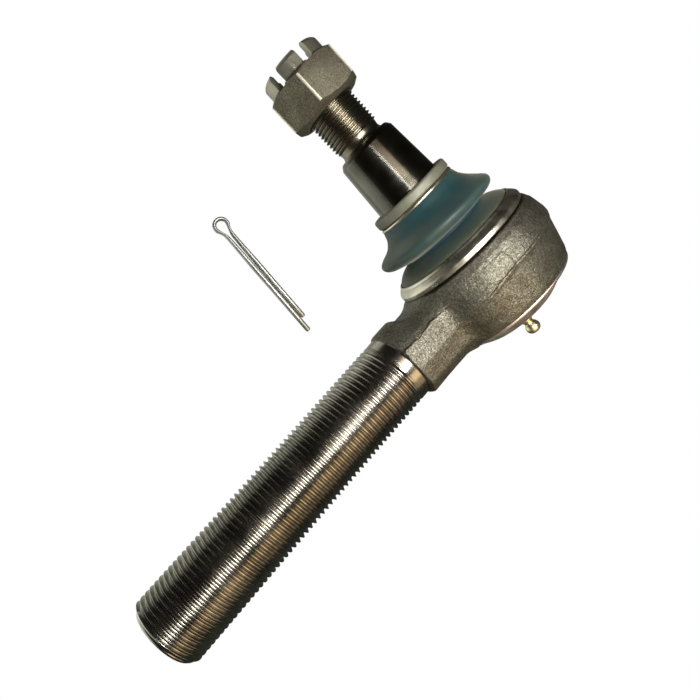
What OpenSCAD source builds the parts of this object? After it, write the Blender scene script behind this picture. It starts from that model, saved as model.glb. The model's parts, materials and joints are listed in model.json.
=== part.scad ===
// Heavy-duty tie rod end: forged housing with a male threaded shank, ball stud with taper and
// slotted nut, preloaded bearing seats, dust boot, greased end cover and a loose cotter pin.
// Frame: origin at the ball centre, +Z along the stud towards the nut, shank along -X.

/* [Shank] */
// Major diameter of the shank thread (1 1/8 in)
shank_d = 28.575; // [27:0.005:29]
// Pitch of the shank thread (12 threads per inch)
shank_pitch = 2.1167; // [2:0.0001:2.5]
// Number of thread grooves on the shank
shank_grooves = 55; // [20:1:60]
// Distance from the ball centre to the free end of the shank
shank_end = 173.5; // [165:0.5:200]
// Axial length of the chamfer at the free end of the shank
shank_chamfer = 2; // [1:0.1:3]
// Radius of the plain collar between the thread and the forged neck
collar_r = 14.1; // [13.5:0.05:14.2]

/* [Forged housing] */
// Radius of the drum at its widest, on the forging's parting ridge
drum_r = 33.2; // [32:0.1:35]
// Radius of the drum's top shoulder
drum_top_r = 30.2; // [29:0.1:31]
// Height of the drum's top shoulder above the ball centre
drum_top_z = 12.5; // [12:0.1:13]
// Radius of the turned spigot that carries the boot
spigot_r = 25.5; // [24:0.1:26]
// Height of the spigot's top face
spigot_top_z = 17.4; // [16.5:0.1:18]
// Radius of the bore that holds the bearing seats
bore_r = 20.5; // [20.3:0.05:20.6]
// Height of the rolled lip's inner face, below the ball centre
lip_z = -17.8; // [-18:0.1:-17.6]
// Radius of the hole inside the rolled lip
lip_r = 17; // [16:0.1:17.5]
// Half width of the forged neck
neck_half_w = 15.6; // [14.5:0.1:17]
// Height of the neck's top at the collar end
neck_top_z = 15; // [14:0.1:16]
// Height of the neck's bottom
neck_bottom_z = -14.4; // [-16:0.1:-14]

/* [Ball stud] */
// Radius of the ball
ball_r = 16; // [15.8:0.05:16.2]
// Radius of the stud's neck above the ball
stud_neck_r = 10; // [9:0.1:10.5]
// Radius of the taper at its gauge plane, just above the boot's neck ring
taper_r = 13.8; // [13.5:0.05:14]
// Height of the taper's gauge plane
taper_z = 44.4; // [43:0.1:46]
// Height of the taper's small end
taper_top_z = 65.9; // [62:0.1:67]
// Taper on diameter, as one in this many
taper_ratio = 8; // [7:0.5:10]
// Major diameter of the stud thread
stud_thread_d = 19.75; // [19:0.05:20]
// Pitch of the stud thread
stud_pitch = 1.5; // [1.25:0.05:2]
// Height of the stud's tip
stud_tip_z = 98.6; // [96:0.1:100]
// Diameter of the cotter pin hole through the stud
pin_hole_d = 4.5; // [4:0.1:5]

/* [Slotted nut] */
// Width across the nut's flats
nut_af = 29.2; // [28:0.1:30]
// Height of the nut's lower face when it stands part way along the thread
nut_z = 84.6; // [82:0.1:86]
// Height of the nut's hexagon
nut_hex_h = 15.5; // [14:0.1:18]
// Height of the crown above the hexagon
nut_crown_h = 6.1; // [5:0.1:7]
// Radius of the crown
nut_crown_r = 13.1; // [12.5:0.1:14]
// Width of each slot
nut_slot_w = 4.5; // [4:0.1:5]
// Direction of one corner of the hexagon about the stud axis
nut_turn = -117; // [-180:1:180]

/* [Boot and rings] */
// Outer radius of the boot's fold
fold_r = 26.2; // [25:0.1:27]
// Wall thickness of the boot
boot_wall = 1.5; // [1.2:0.1:1.8]
// Outer radius of the retainer ring round the boot's base
retainer_r = 29.7; // [29.3:0.1:30]
// Outer radius of the neck ring at the boot's top
neck_ring_r = 17.5; // [17:0.1:18]

/* [Cotter pin] */
// Diameter of the two half-round legs together
pin_d = 3.7; // [3.2:0.1:4.2]
// Length under the eye of the longer leg
pin_leg = 43.5; // [36:0.5:60]
// How much shorter the other leg is
pin_leg_short = 5; // [0:0.5:8]
// Inner radius of the eye
pin_eye_r = 1.7; // [1.5:0.1:2.5]
// Distance of the longer leg's tip from the stud axis, over the shank
pin_tip_x = 64.4; // [50:0.1:90]
// Height of the longer leg's tip
pin_tip_z = 34.2; // [26:0.1:50]
// Lean of the pin away from the stud's direction, in degrees
pin_lean = 5; // [0:0.5:15]

/* [Hidden] */
$fn = 72;
gap = 0.05;                       // clearance of a running fit
seam = 0.1;                       // clearance of a soft piece round its neighbours
land = 1 / 8;                     // thread crest, as a share of the pitch
root_flat = 1 / 4;                // thread root, as a share of the pitch
flank = (1 - land - root_flat) / 2;
thread_depth = flank * sqrt(3);   // of a 60 degree thread, as a share of the pitch
shank_r = shank_d / 2;
thread_start = shank_end - shank_chamfer - shank_grooves * shank_pitch - land * shank_pitch;
neck_end = 50.4;                  // forged neck's end, measured from the ball centre
neck_waist = 35;                  // where the neck is at its lowest
neck_waist_z = 12;
neck_bump = 44;
neck_panel_low = -2;              // lower and upper edges of the neck's side panel
neck_panel_high = 6.3;
neck_top_half_w = 9;
drum_bottom_z = -20.8;
seat_r = bore_r - 0.08;           // bearing seats turn in the bore
seat_split_z = -1;
seat_top_z = 7.7;
seat_shoulder = 2;                // width of the sloped shoulder over the upper seat
ball_flat_z = -12.2;
plate_top_z = -13;
plate_t = 1.2;
plate_inner_r = 9.8;              // clears the ball when the stud leans
cover_t = 2;
cover_rim_r = bore_r - 0.15;
spring_free_h = plate_top_z - plate_t - (lip_z + cover_t);
cover_dish_z = -20;
cover_dish_r = 12.5;
seal_wire_r = 0.6;
nipple_thread_r = 3;
nipple_bore_r = 1.4;
nipple_top_z = -17.4;
nipple_tip_z = -33;
nipple_head_z = -30.8;
nipple_head_r = 3.1;
check_ball_r = 1.15;
check_ball_z = -30.6;
nipple_spring_seat_z = -19.4;
stud_thread_r = stud_thread_d / 2;
stud_thread_z = 70.4;
stud_thread_chamfer = 1.3;
stud_grooves = floor((stud_tip_z - stud_thread_chamfer - stud_thread_z) / stud_pitch);
pin_hole_z = 91;
nut_corner_r = nut_af / sqrt(3);
neck_ring_low = 39.5;
neck_ring_high = 43.5;
clamp_z = 38.6;
clamp_wire_r = 0.75;
clamp_r = 16.7;
boot_base_r = 27.4;
boot_base_z = 13.3;
bead_ring = [26, 26.9, 13.9, 15.9];     // inner radius, outer radius, lowest and highest height

// Radius of the stud's taper at height z.
function taper_at(z) = taper_r - (z - taper_z) / (2 * taper_ratio);

// Outline of ring grooves cut into a bar of radius r, from height s upwards.
function grooves(r, pitch, count, s) = [for (i = [0 : count - 1])
    each [[r, s + i * pitch],
          [r - thread_depth * pitch, s + (i + flank) * pitch],
          [r - thread_depth * pitch, s + (i + flank + root_flat) * pitch],
          [r, s + (i + 2 * flank + root_flat) * pitch]]];

// A tube swept along points: each ring is a section given in the plane of u and v.
module sweep(rings) {
    n = len(rings[0]);
    last = len(rings) - 1;
    polyhedron(
        points = [for (ring = rings) each ring],
        faces = concat(
            [[for (k = [n - 1 : -1 : 0]) k]],
            [for (i = [0 : last - 1], k = [0 : n - 1])
                each [[i * n + k, i * n + (k + 1) % n, (i + 1) * n + (k + 1) % n],
                      [i * n + k, (i + 1) * n + (k + 1) % n, (i + 1) * n + k]]],
            [[for (k = [0 : n - 1]) last * n + k]]),
        convexity = 10);
}

module ring(inner, outer, low, high) {
    rotate_extrude() translate([inner, low]) square([outer - inner, high - low]);
}

// Section of the neck across the shank axis, as [y, z] with a top height of its own.
function neck_section(top, half_w) = [
    [half_w, neck_panel_low], [half_w, neck_panel_high], [neck_top_half_w, top],
    [-neck_top_half_w, top], [-half_w, neck_panel_high], [-half_w, neck_panel_low],
    [-neck_top_half_w, neck_bottom_z], [neck_top_half_w, neck_bottom_z]];

module neck_slice(distance, thickness, top, half_w) {
    translate([-distance, 0, 0]) rotate([90, 0, -90]) linear_extrude(thickness)
        polygon([for (p = neck_section(top, half_w)) [-p[0], p[1]]]);
}

module neck() {
    hull() {
        neck_slice(16, 0.1, drum_top_z - 0.3, 26);
        neck_slice(neck_waist, 0.1, neck_waist_z, neck_half_w);
    }
    hull() {
        neck_slice(neck_waist, 0.1, neck_waist_z, neck_half_w);
        neck_slice(neck_bump, 0.1, neck_top_z, neck_half_w);
    }
    intersection() {
        neck_slice(neck_bump, neck_end + 2 - neck_bump, neck_top_z, neck_half_w);
        rotate([0, -90, 0]) rotate_extrude()
            polygon([[0, 40], [25, 40], [25, neck_end - 4], [collar_r + 1.2, neck_end + 1],
                     [collar_r, neck_end + 2], [0, neck_end + 2]]);
    }
}

module shank() {
    rotate([0, -90, 0]) rotate_extrude() polygon(concat(
        [[0, 30], [collar_r, 30], [collar_r, thread_start - 0.3], [shank_r, thread_start]],
        grooves(shank_r, shank_pitch, shank_grooves, thread_start + land * shank_pitch),
        [[shank_r, shank_end - shank_chamfer], [shank_r - shank_chamfer, shank_end],
         [0, shank_end]]));
}

module drum() {
    rotate_extrude() polygon([
        [0, spigot_top_z], [spigot_r - 0.6, spigot_top_z], [spigot_r, spigot_top_z - 0.6],
        [spigot_r, drum_top_z + 0.5], [drum_top_r - 0.6, drum_top_z + 0.2],
        [drum_top_r, drum_top_z - 0.6], [drum_r, 4], [drum_r, 1.8], [32, 0], [29.4, -12.2],
        [28.4, -13.8], [26.8, -15.3], [24.6, -16.6], [22.4, -18], [20, -19.6],
        [18.8, -20.5], [17.8, drum_bottom_z], [0, drum_bottom_z]]);
}

// Seat bore from below, shoulder over the upper seat, and the flared mouth that the stud swings in.
module housing_cavity() {
    rotate_extrude() polygon([
        [0, -30], [lip_r, -30], [lip_r, lip_z], [bore_r, lip_z], [bore_r, 5],
        [bore_r - seat_shoulder, seat_top_z + 0.1], [14.6, seat_top_z + 0.1], [15.9, drum_top_z],
        [18.2, spigot_top_z + 0.1], [18.2, 30], [0, 30]]);
}

module housing() {
    color("dimgray") difference() {
        union() {
            drum();
            neck();
            shank();
        }
        housing_cavity();
    }
}

module upper_bearing_seat() {
    color("darkkhaki") difference() {
        rotate_extrude() polygon([
            [12, seat_split_z + gap], [seat_r, seat_split_z + gap], [seat_r, 4.9],
            [bore_r - seat_shoulder - 0.1, seat_top_z], [12, seat_top_z]]);
        sphere(r = ball_r + gap);
    }
}

module lower_bearing_seat() {
    color("darkkhaki") difference() {
        rotate_extrude() polygon([
            [10, plate_top_z + gap], [seat_r - 1, plate_top_z + gap],
            [seat_r, plate_top_z + 1], [seat_r, seat_split_z - gap], [10, seat_split_z - gap]]);
        sphere(r = ball_r + gap);
    }
}

module pressure_plate() {
    color("slategray") ring(plate_inner_r, bore_r - 0.5, plate_top_z - plate_t, plate_top_z);
}

// Disc spring: its rim stands on the cover and its inner edge pushes the pressure plate.
module preload_spring() {
    t = 1;
    outer = bore_r - 0.8;
    inner = plate_inner_r + 0.6;
    color("darkslategray") rotate_extrude() polygon([
        [outer - 0.2, lip_z + cover_t], [outer, lip_z + cover_t + t],
        [inner + 0.2, lip_z + cover_t + spring_free_h], [inner, lip_z + cover_t + spring_free_h - t]]);
}

module end_cover() {
    groove_r = cover_rim_r - 2 * seal_wire_r - gap;
    color("gray") rotate_extrude() polygon([
        [nipple_thread_r, cover_dish_z], [cover_dish_r, cover_dish_z],
        [lip_r - 0.5, lip_z], [cover_rim_r, lip_z], [cover_rim_r, lip_z + 0.35],
        [groove_r, lip_z + 0.35], [groove_r, lip_z + cover_t - 0.35],
        [cover_rim_r, lip_z + cover_t - 0.35], [cover_rim_r, lip_z + cover_t],
        [lip_r - 1, lip_z + cover_t], [cover_dish_r - 0.8, cover_dish_z + cover_t],
        [nipple_thread_r, cover_dish_z + cover_t]]);
}

module cover_seal() {
    color("black") rotate_extrude()
        translate([cover_rim_r - seal_wire_r, lip_z + cover_t / 2]) circle(r = seal_wire_r, $fn = 32);
}

module grease_nipple() {
    hex_af = 7.2;
    hex_top = cover_dish_z;
    hex_low = hex_top - 2.4;
    color("goldenrod") difference() {
        union() {
            rotate_extrude() polygon([
                [0, nipple_top_z], [nipple_thread_r - 0.4, nipple_top_z],
                [nipple_thread_r, nipple_top_z - 0.6], [nipple_thread_r, hex_top - 0.5],
                [2.9, hex_low], [2.9, -26.6], [2, -27.6], [2, nipple_head_z], [0, nipple_head_z]]);
            translate([0, 0, hex_low]) cylinder(d = hex_af / cos(30), h = hex_top - hex_low, $fn = 6);
            intersection() {
                translate([0, 0, nipple_head_z]) sphere(r = nipple_head_r, $fn = 48);
                translate([-5, -5, nipple_tip_z]) cube([10, 10, 6]);
            }
        }
        translate([0, 0, check_ball_z - 0.2])
            cylinder(r = nipple_bore_r, h = nipple_top_z + 1 - check_ball_z, $fn = 32);
        translate([0, 0, nipple_tip_z - 1]) cylinder(r = 0.75, h = 4, $fn = 32);
        translate([0, 0, check_ball_z]) sphere(r = check_ball_r + gap, $fn = 48);
    }
}

module nipple_check_ball() {
    color("silver") translate([0, 0, check_ball_z]) sphere(r = check_ball_r, $fn = 48);
}

// Helical spring behind the check ball, with its ends a little inside its seats.
module nipple_spring() {
    wire_r = 0.18;
    coil_r = nipple_bore_r - wire_r - 0.12;
    low = check_ball_z + check_ball_r + wire_r - 0.02;
    high = nipple_spring_seat_z - wire_r - 0.05;
    turns = 8;
    steps = turns * 12;
    color("lightsteelblue") sweep([for (i = [0 : steps])
        let (a = 360 * turns * i / steps, z = low + (high - low) * i / steps)
        [for (k = [0 : 7]) let (b = 45 * k, r = coil_r + wire_r * cos(b))
            [r * cos(a), r * sin(a), z + wire_r * sin(b)]]]);
}

module nipple_spring_seat() {
    color("silver") ring(0.7, nipple_bore_r - 0.02, nipple_spring_seat_z, nipple_spring_seat_z + 0.6);
}

module ball_stud() {
    flare_r = taper_at(38);
    small_r = taper_at(taper_top_z);
    join_z = sqrt(ball_r * ball_r - stud_neck_r * stud_neck_r);
    color("darkslategray") difference() {
        union() {
            intersection() {
                sphere(r = ball_r);
                translate([0, 0, ball_flat_z]) cylinder(r = ball_r + 1, h = 2 * ball_r);
            }
            rotate_extrude() polygon(concat(
                [[0, 0], [stud_neck_r, join_z - 0.5], [stud_neck_r, 24], [10.6, 28], [12, 32],
                 [flare_r, 36], [flare_r, 38], [small_r, taper_top_z],
                 [small_r - 1.1, taper_top_z + 1.1], [9.2, taper_top_z + 1.1], [8.8, taper_top_z + 2],
                 [8.8, stud_thread_z - 1.2], [stud_thread_r, stud_thread_z]],
                grooves(stud_thread_r, stud_pitch, stud_grooves, stud_thread_z + land * stud_pitch),
                [[stud_thread_r, stud_tip_z - stud_thread_chamfer],
                 [stud_thread_r - stud_thread_chamfer, stud_tip_z], [0, stud_tip_z]]));
        }
        translate([0, 0, pin_hole_z]) rotate([0, 0, nut_turn + 30]) rotate([0, 90, 0])
            cylinder(d = pin_hole_d, h = 4 * stud_thread_r, center = true, $fn = 32);
    }
}

// Outer profile of the boot from its base up to its neck, as [radius, height].
boot_outer = [[boot_base_r, boot_base_z], [boot_base_r, 15.6], [26.5, 18.3], [25.6, 19.4],
              [23.6, 20.7], [20.8, 22], [19.5, 23], [20.8, 24.1], [23.4, 25], [fold_r - 0.4, 26],
              [fold_r, 27], [fold_r - 0.5, 28.2], [24, 29.6], [22, 31.2], [20, 33.1],
              [18.6, 35.2], [17.7, 37.2]];

module dust_boot() {
    neck_r = taper_at(38) + seam;
    color("steelblue", 0.8) difference() {
        rotate_extrude() polygon(concat(boot_outer,
            [[clamp_r - clamp_wire_r - 0.4, clamp_z - clamp_wire_r], [15.4, 38.9], [neck_r, 38.9],
             [neck_r, 36], [16.2, 35.6], [18.6, 32.1], [20.6, 30.2], [22.9, 28.4],
             [fold_r - boot_wall - 0.4, 27.4], [fold_r - boot_wall - 0.4, 26.9], [22.8, 26.4],
             [20.2, 25.6], [18.1, 24.2], [19.5 - boot_wall, 23], [19.3, 21.4], [22.4, 19.7],
             [24.2, 18.4], [spigot_r - 0.8, spigot_top_z + 0.3], [spigot_r + seam, spigot_top_z - 0.3],
             [spigot_r + seam, boot_base_z]]));
        ring(bead_ring[0], bead_ring[1], bead_ring[2], bead_ring[3]);
    }
}

module boot_bead_ring() {
    color("silver") ring(bead_ring[0], bead_ring[1], bead_ring[2], bead_ring[3]);
}

// Steel band round the boot's base, leaning in at the top, with a rolled lower edge.
module boot_retainer_ring() {
    inner_r = boot_base_r + seam;
    color("gainsboro") rotate_extrude() polygon([
        [inner_r, boot_base_z], [retainer_r - 0.4, boot_base_z], [retainer_r, boot_base_z + 0.4],
        [retainer_r, boot_base_z + 1], [28.5, 15.4], [28, 16.8], [27.2, 18.3],
        [26.5 + seam, 18.3], [inner_r, 15.6]]);
}

module boot_neck_ring() {
    color("tan") rotate_extrude() polygon([
        [taper_at(neck_ring_low) + gap, neck_ring_low], [neck_ring_r - 0.4, neck_ring_low],
        [neck_ring_r, neck_ring_low + 0.4], [neck_ring_r, neck_ring_high - 0.5],
        [neck_ring_r - 0.5, neck_ring_high], [taper_at(neck_ring_high) + gap, neck_ring_high]]);
}

module boot_neck_clamp() {
    color("gainsboro") rotate_extrude() translate([clamp_r, clamp_z]) circle(r = clamp_wire_r, $fn = 32);
}

module slotted_nut() {
    lower_face_r = 12.2;
    total_h = nut_hex_h + nut_crown_h;
    bore = stud_thread_r + gap;
    slot_depth = nut_crown_h + 0.6;
    color("dimgray") translate([0, 0, nut_z]) rotate([0, 0, nut_turn]) difference() {
        union() {
            intersection() {
                cylinder(r = nut_corner_r, h = nut_hex_h, $fn = 6);
                rotate_extrude() polygon([
                    [0, 0], [lower_face_r, 0], [nut_af / 2 - 0.6, 1.4], [nut_corner_r + 0.1, 3.4],
                    [nut_corner_r + 0.1, nut_hex_h - 1.7], [nut_af / 2 - 0.6, nut_hex_h],
                    [0, nut_hex_h]]);
            }
            rotate_extrude() polygon([
                [0, nut_hex_h - 1], [nut_crown_r, nut_hex_h - 1], [nut_crown_r, total_h - 0.6],
                [nut_crown_r - 0.6, total_h], [0, total_h]]);
        }
        translate([0, 0, -1]) cylinder(r = bore, h = total_h + 2);
        translate([0, 0, -0.01]) cylinder(r1 = bore + 0.8, r2 = bore, h = 0.8);
        for (i = [0 : 2]) rotate([0, 0, 30 + 60 * i])
            translate([-20, -nut_slot_w / 2, total_h - slot_depth]) cube([40, nut_slot_w, slot_depth + 1]);
    }
}

// Inner line of the folded wire, from the longer leg's tip round the eye to the shorter tip, and
// the direction that points out of the fold at each point.
eye_top = pin_leg + pin_eye_r + 2.6;
eye_steps = 20;
eye_open = 215;                   // part of a full turn that the eye's arc covers
function eye_point(a) = [pin_eye_r * cos(a), eye_top + pin_eye_r * sin(a)];
function eye_angle(i) = 90 + eye_open / 2 - eye_open * i / eye_steps;
pin_line = concat(
    [[-0.02, 0, 180], [-0.02, pin_leg - 1, 180], [-0.25, pin_leg + 0.3, 165]],
    [for (i = [0 : eye_steps]) let (a = eye_angle(i), p = eye_point(a)) [p[0], p[1], a]],
    [[0.25, pin_leg + 0.3, 15], [0.02, pin_leg - 1, 0], [0.02, pin_leg_short, 0]]);

// The wire is half round: its flat side lies on the inner line.
module cotter_pin() {
    sides = 9;
    color("silver") translate([-pin_tip_x, 0, pin_tip_z]) rotate([0, pin_lean, 0])
        sweep([for (p = pin_line) [for (k = [0 : sides - 1])
            let (b = -90 + 180 * k / (sides - 1), out = pin_d / 2 * cos(b), side = pin_d / 2 * sin(b))
            [p[0] + out * cos(p[2]), -side, p[1] + out * sin(p[2])]]]);
}

housing();
upper_bearing_seat();
lower_bearing_seat();
pressure_plate();
preload_spring();
end_cover();
cover_seal();
grease_nipple();
nipple_check_ball();
nipple_spring();
nipple_spring_seat();
ball_stud();
dust_boot();
boot_bead_ring();
boot_retainer_ring();
boot_neck_ring();
boot_neck_clamp();
slotted_nut();
cotter_pin();
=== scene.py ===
import json
import math

import bmesh
import bpy
import numpy as np
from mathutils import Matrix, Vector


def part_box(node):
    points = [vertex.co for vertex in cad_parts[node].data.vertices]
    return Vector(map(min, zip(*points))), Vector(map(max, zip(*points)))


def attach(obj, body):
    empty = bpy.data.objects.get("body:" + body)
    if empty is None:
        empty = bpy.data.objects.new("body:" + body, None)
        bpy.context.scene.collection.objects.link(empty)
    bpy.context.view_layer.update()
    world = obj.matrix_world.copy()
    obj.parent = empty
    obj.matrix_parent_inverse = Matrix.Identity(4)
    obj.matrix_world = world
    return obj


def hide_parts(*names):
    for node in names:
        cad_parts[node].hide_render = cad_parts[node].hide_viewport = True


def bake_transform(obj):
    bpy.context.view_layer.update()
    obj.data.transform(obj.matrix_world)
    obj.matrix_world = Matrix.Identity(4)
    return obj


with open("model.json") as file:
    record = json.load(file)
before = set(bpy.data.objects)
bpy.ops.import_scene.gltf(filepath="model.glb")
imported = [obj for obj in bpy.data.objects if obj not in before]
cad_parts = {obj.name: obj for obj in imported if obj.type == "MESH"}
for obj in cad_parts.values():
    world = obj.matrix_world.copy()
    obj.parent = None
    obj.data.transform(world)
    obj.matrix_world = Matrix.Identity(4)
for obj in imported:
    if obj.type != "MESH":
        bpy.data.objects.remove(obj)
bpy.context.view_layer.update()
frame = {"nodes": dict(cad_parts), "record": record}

import openvdb
from mathutils import Matrix, Vector, noise

MM = 0.001

# ---------------------------------------------------------------- sizes, in millimetres
# The frame gives the places; the rest repeats the design's own dimensions.
def box(node):
    return tuple(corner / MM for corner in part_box(node))


housing_low, housing_high = box("housing")
stud_low, stud_high = box("ball_stud")
nut_low, nut_high = box("slotted_nut")
cover_low, cover_high = box("end_cover")
ring_low, ring_high = box("boot_retainer_ring")
neck_ring_low, neck_ring_high = box("boot_neck_ring")
clamp_low, clamp_high = box("boot_neck_clamp")
nipple_low, nipple_high = box("grease_nipple")

SHANK_END = -housing_low.x
SHANK_R = 28.575 / 2
SHANK_PITCH = 2.1167
SHANK_CHAMFER = 2.0
COLLAR_R = 14.1
NECK_END = 50.4
FORGING_BORE_R = 22.0            # the forging's hole, which the turned pieces line
DRUM_R = 32.95
SPIGOT_R = 25.5
SPIGOT_TOP = housing_high.z
BOTTOM = housing_low.z
LIP_R = 17.0
THREAD_DEPTH = 0.5413            # in pitches
BALL_R = 16.0
STUD_NECK_R = 10.0
TAPER_R = 13.8
TAPER_Z = 44.4
TAPER_TOP = 65.9
TAPER_SLOPE = 1 / 16
STUD_THREAD_R = 19.75 / 2
STUD_PITCH = 1.5
STUD_THREAD_START = 70.4
PIN_HOLE_R = 2.25
PIN_HOLE_Z = 91.0
NUT_FLATS = 29.2
NUT_CORNER_R = NUT_FLATS / math.sqrt(3)
NUT_HEX_H = 15.5
NUT_CROWN_R = 13.1
NUT_SLOT = 4.5
NUT_TURN = math.radians(-117)
SLOT_TURN = NUT_TURN + math.pi / 6
PIN_TIP = Vector((-64.4, 0, 34.2))
PIN_LEAN = math.radians(5)
PIN_D = 3.7
PIN_LEG = 43.5
PIN_SHORT = 5.0
PIN_EYE_R = 1.7
PIN_WIRE = 1.4                   # the wire's thickness at the eye
PIN_HALF_WIDTH = 1.3
NIPPLE_FLATS = 7.2
NIPPLE_BORE_R = 1.4
CHECK_BALL_R = 1.15
CHECK_BALL_Z = -30.6
SPRING_SEAT_Z = -19.4

ROUND = 160                      # segments round the large turned pieces
TURNED = 96                      # segments round the stud and the nut


def taper_at(z):
    return TAPER_R - (z - TAPER_Z) * TAPER_SLOPE


# ---------------------------------------------------------------- mesh helpers
def add_object(name, data):
    obj = bpy.data.objects.new(name, data)
    bpy.context.scene.collection.objects.link(obj)
    return obj


def make_object(name, points, faces, smooth=True):
    """Object of that name from points in millimetres."""
    mesh = bpy.data.meshes.new(name)
    mesh.from_pydata([tuple(p) for p in np.asarray(points, float) * MM], [], [list(f) for f in faces])
    mesh.validate()
    for polygon in mesh.polygons:
        polygon.use_smooth = smooth
    return add_object(name, mesh)


def sharpen(obj, degrees=38):
    """Smooth shading that breaks at edges sharper than that."""
    mesh = obj.data
    bm = bmesh.new()
    bm.from_mesh(mesh)
    bmesh.ops.recalc_face_normals(bm, faces=bm.faces)
    for edge in bm.edges:
        edge.smooth = edge.is_manifold and edge.calc_face_angle(0) < math.radians(degrees)
    bm.to_mesh(mesh)
    bm.free()
    mesh.update()
    return obj


def rounded(corners):
    """Outline with rounded corners, from (radius, height, fillet) corners; the ends stay as they are."""
    steps = 4
    points = []
    for i, (r, z, fillet) in enumerate(corners):
        here = Vector((r, z))
        if fillet == 0 or i in (0, len(corners) - 1):
            points.append(here)
            continue
        before = Vector(corners[i - 1][:2]) - here
        after = Vector(corners[i + 1][:2]) - here
        reach = min(fillet, 0.45 * before.length, 0.45 * after.length)
        a = here + before.normalized() * reach
        b = here + after.normalized() * reach
        for s in range(steps + 1):
            t = s / steps
            points.append((1 - t) ** 2 * a + 2 * t * (1 - t) * here + t * t * b)
    return points


def circle(points, radius, z, segments, turn=0.0):
    """Adds a ring of points about Z, or one point on the axis, and returns their numbers."""
    first = len(points)
    if radius < 1e-6:
        points.append((0, 0, z))
        return [first]
    for s in range(segments):
        a = turn + 2 * math.pi * s / segments
        points.append((radius * math.cos(a), radius * math.sin(a), z))
    return list(range(first, first + segments))


def add_face(faces, *corners):
    """Adds a face without repeated corners, if three or more are left."""
    corners = list(dict.fromkeys(corners))
    if len(corners) > 2:
        faces.append(corners)


def join(faces, rows, segments):
    """Adds the strips of faces between rows; a row may be a single point."""
    for lower, upper in zip(rows, rows[1:]):
        for s in range(segments):
            n = (s + 1) % segments
            add_face(faces, lower[s % len(lower)], lower[n % len(lower)],
                     upper[n % len(upper)], upper[s % len(upper)])


def lathe(name, corners, segments=ROUND, closed=False):
    """Turned piece about Z. An open outline starts and ends on the axis; a closed one makes a ring."""
    outline = rounded(corners)
    if closed:
        outline = rounded([corners[-1], *corners, corners[0]])[1:-1]
    points, faces = [], []
    rows = [circle(points, p.x, p.y, segments) for p in outline]
    join(faces, rows + rows[:1] if closed else rows, segments)
    return sharpen(make_object(name, points, faces))


def thread_profile():
    """One pitch of a 60 degree thread, as (share of the pitch, depth in pitches) from mid crest on."""
    flank = math.sqrt(3)
    crest, root = 0.0625, 0.375
    eased = 0.03
    half = [(0.03, 0.0), (crest + 0.02, 0.02 * flank), (root - eased, (root - eased - crest) * flank),
            (0.43, THREAD_DEPTH)]
    return half + [(1 - f, d) for f, d in reversed(half)]


def threaded_bar(name, before, start, end, crest, pitch, after, runout, runout_r, chamfer, segments):
    """Bar about Z with a right-hand helical thread from start to end.

    before and after are outlines of the turned stretches below and above it. The thread fades in over
    runout from a bar of radius runout_r, and a chamfer cone cuts its end.
    """
    profile = thread_profile()
    turns = int(math.ceil((end - start) / pitch)) + 3
    samples = [(n + f, d) for n in range(-2, turns) for f, d in profile]
    points, faces = [], []
    rows_before = [circle(points, *p, segments) for p in before]
    first = circle(points, runout_r, start, segments)
    last = circle(points, crest - chamfer, end, segments)
    columns = []
    for s in range(segments):
        column = []
        for f, depth in samples:
            z = start + pitch * (f + s / segments)
            if z <= start + 1e-4:
                column.append(first[s])
                continue
            if z >= end - 1e-4:
                column.append(last[s])
                continue
            grown = min(1.0, (z - start) / runout)
            grown = grown * grown * (3 - 2 * grown)
            crest_here = runout_r + (crest - runout_r) * grown
            r = min(crest_here - depth * pitch * grown, crest - chamfer + (end - z))
            a = 2 * math.pi * s / segments
            column.append(len(points))
            points.append((r * math.cos(a), r * math.sin(a), z))
        columns.append(column)
    top = len(samples) - 1
    for s in range(segments):
        here = columns[s]
        there = columns[(s + 1) % segments]
        shift = len(profile) if s == segments - 1 else 0     # the helix closes one pitch further up
        for k in range(top):
            add_face(faces, here[k], there[min(k + shift, top)],
                     there[min(k + 1 + shift, top)], here[k + 1])
    join(faces, [*rows_before, first], segments)
    join(faces, [last, *(circle(points, *p, segments) for p in after)], segments)
    return sharpen(make_object(name, points, faces), 50)


def carve(obj, cutter, operation="DIFFERENCE"):
    """Applies a boolean with cutter, which is removed."""
    modifier = obj.modifiers.new("carve", "BOOLEAN")
    modifier.operation = operation
    modifier.solver = "EXACT"
    modifier.object = cutter
    settle(obj)
    bpy.data.objects.remove(cutter)


def settle(obj):
    """Replaces the object's mesh by what its modifiers make."""
    graph = bpy.context.evaluated_depsgraph_get()
    mesh = bpy.data.meshes.new_from_object(obj.evaluated_get(graph))
    obj.modifiers.clear()
    obj.data = mesh


def bevel(obj, width, segments, degrees):
    """Rounds the edges that are sharper than degrees, by a width in millimetres."""
    modifier = obj.modifiers.new("worn_edges", "BEVEL")
    modifier.width = width * MM
    modifier.segments = segments
    modifier.limit_method = "ANGLE"
    modifier.angle_limit = math.radians(degrees)
    modifier.use_clamp_overlap = True
    settle(obj)


def bar(sides, radius, low, high, turn=0.0):
    """Straight prism along Z, used as a cutter or a blank."""
    points = []
    lower, upper = (circle(points, radius, z, sides, turn) for z in (low, high))
    faces = [lower[::-1], upper]
    join(faces, [lower, upper], sides)
    return make_object("cutter", points, faces, smooth=False)


def sweep(name, rings):
    """Closed solid through equal rings of points."""
    n = len(rings[0])
    rows = [range(i * n, (i + 1) * n) for i in range(len(rings))]
    faces = [list(rows[0])[::-1], list(rows[-1])]
    join(faces, rows, n)
    return make_object(name, [p for ring in rings for p in ring], faces)


def wire_section(coil, wire, angle, z, sides):
    """Round section of a wire that is coiled about Z."""
    turns = (2 * math.pi * k / sides for k in range(sides))
    return [((coil + wire * math.cos(b)) * math.cos(angle), (coil + wire * math.cos(b)) * math.sin(angle),
             z + wire * math.sin(b)) for b in turns]


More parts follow.
